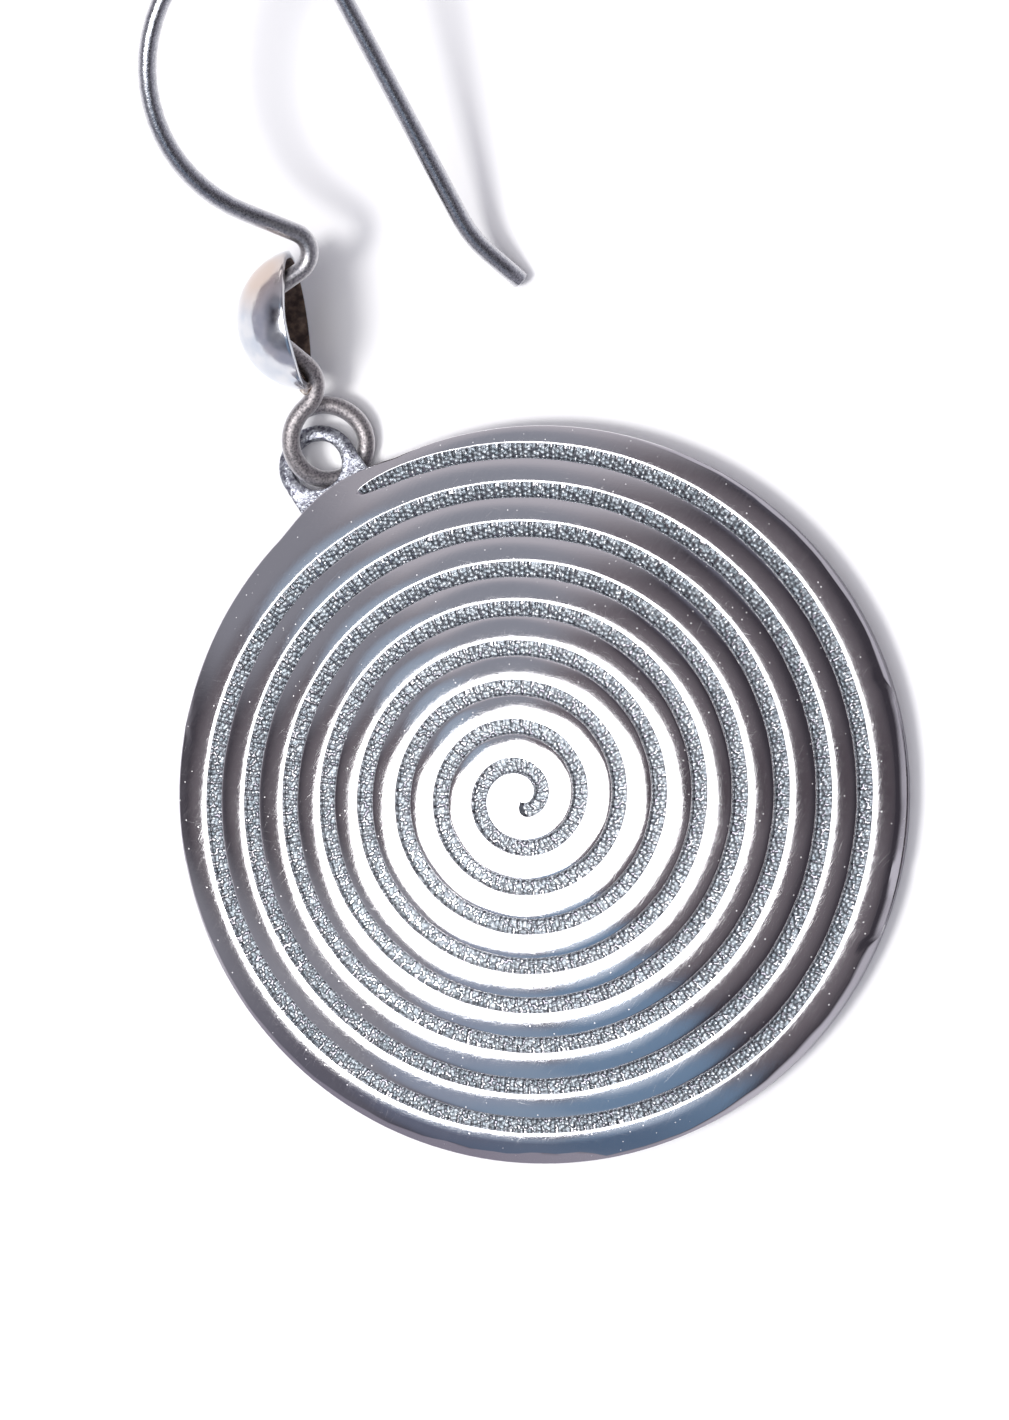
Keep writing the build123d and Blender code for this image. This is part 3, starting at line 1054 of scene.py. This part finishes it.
beads = []
for spot, radius in solder_runs_mm:
    bpy.ops.mesh.primitive_uv_sphere_add(segments=32, ring_count=20, radius=radius * mm)
    run = bpy.context.object
    for vertex in run.data.vertices:
        vertex.co *= 1 + solder_uneven * grain(vertex.co / solder_grain)
    run.data.transform(Matrix.Translation(Vector(spot) * mm) @ solder_flow)
    beads.append(run)
for run in beads:
    run.select_set(True)
bpy.context.view_layer.objects.active = beads[0]
bpy.ops.object.join()
solder = bpy.context.object
solder.name = "solder"
bpy.ops.object.shade_smooth()
hard_solder, tree, shader = node_material("hard_solder")
burnt = remap(noise(tree, 0.3 * mm, detail=3.0), 0.45, 0.62)
link(mix_colour(burnt, *solder_tints), shader.inputs["Base Color"])
shader.inputs["Roughness"].default_value = 0.24
solder.data.materials.append(hard_solder)
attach(solder, "root")

# Surface and light. The earring lies on a plain white sheet. A round soft light stands over it,
# a little to the picture's lower left, with a smaller and stronger one inside it.
bpy.ops.mesh.primitive_plane_add(size=4)
sheet_floor = bpy.context.object
sheet_floor.name = "white_sheet"
sheet_material, tree, shader = node_material("white_sheet", metallic=0.0)
shader.inputs["Base Color"].default_value = (0.9, 0.9, 0.91, 1)
shader.inputs["Roughness"].default_value = 0.9
sheet_floor.data.materials.append(sheet_material)


def lamp_way(across, along):
    """Direction of a lamp, as degrees that it stands off upright, to the picture's right and up."""
    lean = radians(sqrt(across**2 + along**2))
    share = sin(lean) / degrees(lean)
    return picture_way(share * across, share * along, cos(lean))


def soft_lamp(name, way, distance, half_angles, axis, radiance, tint):
    """An oval soft lamp that faces the disc, with its size and brightness as seen from there."""
    data = bpy.data.lights.new(name, "AREA")
    data.shape = "ELLIPSE"
    data.size, data.size_y = (2 * distance * tan(radians(half)) for half in half_angles)
    data.energy = radiance * pi * pi * data.size * data.size_y / 4
    data.color = tint
    lamp = bpy.data.objects.new(name, data)
    bpy.context.scene.collection.objects.link(lamp)
    long_side = (axis - axis.dot(way) * way).normalized()
    turn = Matrix((long_side, way.cross(long_side), way)).transposed().to_4x4()
    lamp.matrix_world = Matrix.Translation(way * distance) @ turn


soft_axis = picture_way(cos(radians(205)), sin(radians(205)), 0)
soft_lamp("soft_light", lamp_way(-10, -5.5), 0.9, (27, 22), soft_axis, 3.4, (0.98, 0.98, 1.0))
soft_lamp("key_light", lamp_way(-21.4, -12.7), 0.8, (7, 7), soft_axis, 36, (1.0, 0.985, 0.965))

# the room that the silver mirrors: dim straight above, paler low down, with soft patches. A patch
# is its angle in the picture, its lean from upright, the radii inside which it is full and
# outside which it is gone, all in degrees, and its colour.
room_low, room_high = (0.50, 0.48, 0.55), (0.041, 0.036, 0.047)
behind_lamps = (0.15, 0.13, 0.15)
room_patches = (
    (108, 56, 18, 35, (0.45, 0.43, 0.48)),
    (150, 48, 5, 15, (0.23, 0.23, 0.27)),
    (215, 56, 8, 24, (0.24, 0.24, 0.28)),
    (60, 43, 3, 13, (0.13, 0.13, 0.17)),
    (240, 38, 4, 12, (0.24, 0.275, 0.365)),
    (262, 47, 8, 18, (0.22, 0.29, 0.40)),
    (275, 37, 7, 13, (0.15, 0.23, 0.35)),
    (120, 29, 4, 13, (0.25, 0.26, 0.31)),
    (148, 31, 3, 8, (0.30, 0.36, 0.46)),
    (268, 26, 3, 8, (0.40, 0.47, 0.59)),
    (3, 22, 2, 7, (0.074, 0.061, 0.074)),
)
world = bpy.data.worlds.new("studio")
world.use_nodes = True
bpy.context.scene.world = world
tree = world.node_tree
outlook = tree.nodes.new("ShaderNodeTexCoord")


def room_patch(below, way, inner, outer, colour):
    """Lays a soft round patch of a colour over the room, around a direction, with two radii."""
    aim = tree.nodes.new("ShaderNodeVectorMath")
    aim.operation = "DOT_PRODUCT"
    link(outlook.outputs["Generated"], aim.inputs[0])
    aim.inputs[1].default_value = way
    share = tree.nodes.new("ShaderNodeMapRange")
    share.interpolation_type = "SMOOTHSTEP"
    share.inputs["From Min"].default_value = cos(radians(outer))
    share.inputs["From Max"].default_value = cos(radians(inner))
    link(aim.outputs["Value"], share.inputs["Value"])
    return mix_colour(share.outputs["Result"], below, colour)


room = room_patch(room_low, Vector((0, 0, 1)), 46, 74, room_high)
room = room_patch(room, lamp_way(-9, -4), 25, 42, behind_lamps)
for angle, lean, inner, outer, colour in room_patches:
    patch_way = lamp_way(lean * cos(radians(angle)), lean * sin(radians(angle)))
    room = room_patch(room, patch_way, inner, outer, colour)
link(room, tree.nodes["Background"].inputs["Color"])
bpy.context.scene.view_settings.view_transform = "Standard"
